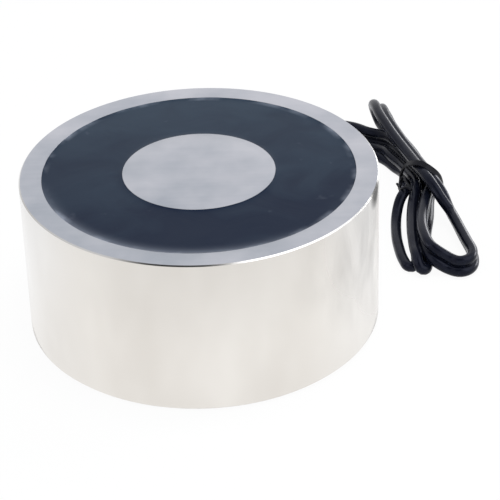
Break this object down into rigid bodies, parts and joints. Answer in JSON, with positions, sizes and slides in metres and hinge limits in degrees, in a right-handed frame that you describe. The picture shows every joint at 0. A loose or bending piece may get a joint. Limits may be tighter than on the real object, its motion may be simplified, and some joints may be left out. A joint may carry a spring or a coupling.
{
  "type": "holding electromagnet",
  "caption": "Round holding electromagnet: nickel-plated steel pot with a resin-potted coil, threaded back and a two-core cord folded into a tied hank.",
  "frame": {"origin": "centre of the flat mounting face, at the bottom", "axes": "+Z out of the pole face along the pot's axis; the cord leaves on the +Y side and its hank lies on the +X side"},
  "size_m": [0.0863, 0.107, 0.03],
  "materials": {
    "nickel_plated_steel": "nickel plated, mirror side, ground pole face",
    "black_epoxy": "cast black epoxy, soft gloss",
    "natural_nylon": "moulded, natural",
    "insulation_paper": "pressed insulation paper",
    "enamelled_copper": "enamelled copper wire",
    "polyester_tape": "yellow polyester tape",
    "shrink_sleeve": "shrink tube",
    "black_pvc": "extruded black PVC, glossy",
    "tie_plastic": "black plastic-coated wire",
    "tinned_copper": "tinned copper strands"
  },
  "bodies": {
    "root": {"pot_body": "nickel_plated_steel", "base_insulator": "insulation_paper", "coil_bobbin": "natural_nylon", "coil_winding": "enamelled_copper", "winding_tape": "polyester_tape", "start_lead": "enamelled_copper", "finish_lead": "enamelled_copper", "splice_sleeve_a": "shrink_sleeve", "splice_sleeve_b": "shrink_sleeve", "inner_core_a": "black_pvc", "inner_core_b": "black_pvc", "potting_resin": "black_epoxy", "exit_seal": "black_epoxy", "cord_lead": "black_pvc", "cord_hank": "black_pvc", "hank_tie": "tie_plastic", "split_core_a": "black_pvc", "split_core_b": "black_pvc", "bare_end_a": "tinned_copper", "bare_end_b": "tinned_copper"}
  },
  "joints": []
}
